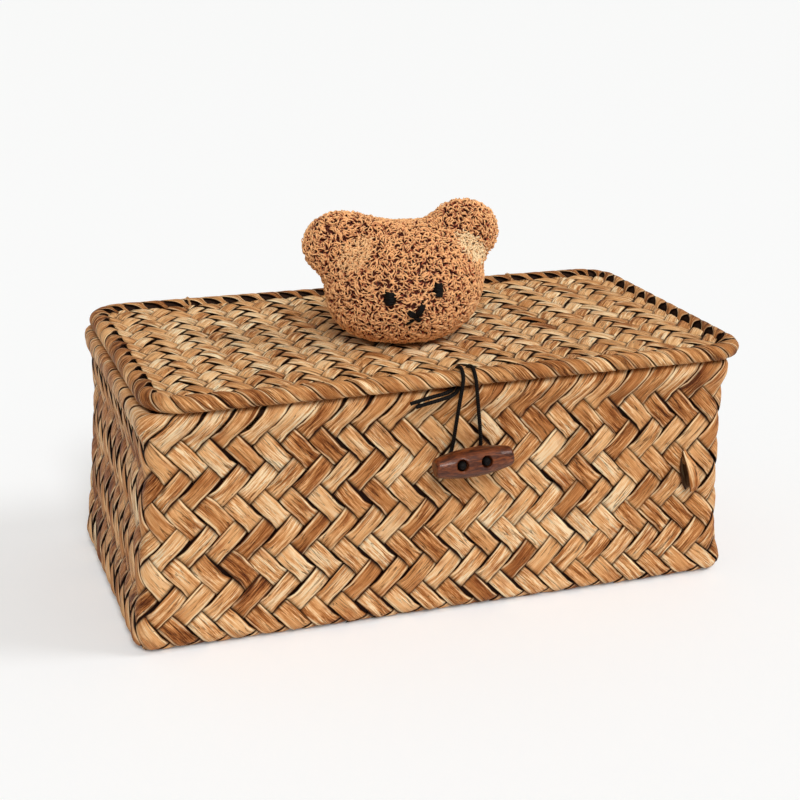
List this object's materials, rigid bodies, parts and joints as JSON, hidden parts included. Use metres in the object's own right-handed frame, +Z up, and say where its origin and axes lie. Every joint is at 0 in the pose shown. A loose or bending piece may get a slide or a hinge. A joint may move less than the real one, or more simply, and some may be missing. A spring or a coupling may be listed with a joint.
{
  "type": "woven lidded box",
  "caption": "Rectangular box woven from flat sedge strips, with a hinged lid, a cord loop that hooks under a wooden toggle, and a plush bear head on the lid as its handle.",
  "frame": {"origin": "on the plane of the flat base, straight below the middle of the basket's rim", "axes": "+X along the length towards the side with the curled strip end, -Y out of the front with the toggle, +Z up"},
  "size_m": [0.306, 0.1772, 0.1914],
  "materials": {
    "sedge": "matt dried sedge strips",
    "lid_sedge": "matt dried sedge strips",
    "steel_wire": "drawn wire",
    "black_cord": "waxed cotton",
    "toggle_wood": "polished",
    "plush": "curly plush",
    "ear_lining": "short plush"
  },
  "bodies": {
    "basket": {"woven_basket": "sedge", "basket_rim_wire": "steel_wire", "curled_strip_end": "sedge", "toggle_thread": "black_cord"},
    "lid": {"woven_lid": "lid_sedge", "lid_rim_wire": "steel_wire", "hinge_tie_left": "sedge", "hinge_tie_knot_left": "sedge", "hinge_tie_right": "sedge", "hinge_tie_knot_right": "sedge", "loop_cord_root_left": "black_cord", "loop_cord_root_right": "black_cord", "cord_tail_upper": "black_cord", "cord_tail_lower": "black_cord", "cord_knot": "black_cord", "bear_head": "plush", "bear_ear_left": "plush", "bear_ear_right": "plush", "bear_ear_lining_left": "ear_lining", "bear_ear_lining_right": "ear_lining", "bear_eye_left": "black_cord", "bear_eye_right": "black_cord", "bear_nose": "black_cord", "bear_mouth": "black_cord", "bear_tack_thread": "black_cord"},
    "toggle": {"toggle": "toggle_wood", "toggle_knot_left": "black_cord", "toggle_knot_right": "black_cord"},
    "loop": {"loop_cord": "black_cord"}
  },
  "joints": [
    {"name": "lid_hinge", "type": "hinge", "parent": "basket", "child": "lid", "pos_m": [0, 0.07525, 0.114], "axis": [-1, 0, 0], "range_deg": [0, 105], "deforming": ["hinge_tie_left", "hinge_tie_right", "loop_cord"]},
    {"name": "loop_swing", "type": "hinge", "parent": "lid", "child": "loop", "pos_m": [0.0024, -0.07935, 0.1226], "axis": [1, 0, 0], "range_deg": [0, 86], "deforming": ["loop_cord"]},
    {"name": "toggle_turn", "type": "hinge", "parent": "basket", "child": "toggle", "pos_m": [0.0036, -0.08603, 0.08311], "axis": [0, -1, 0], "range_deg": [-25, 25], "deforming": ["toggle_thread"]}
  ],
  "couplings": [
    {"joint": "loop_swing", "follows": "lid_hinge", "ratio": 0.819}
  ]
}
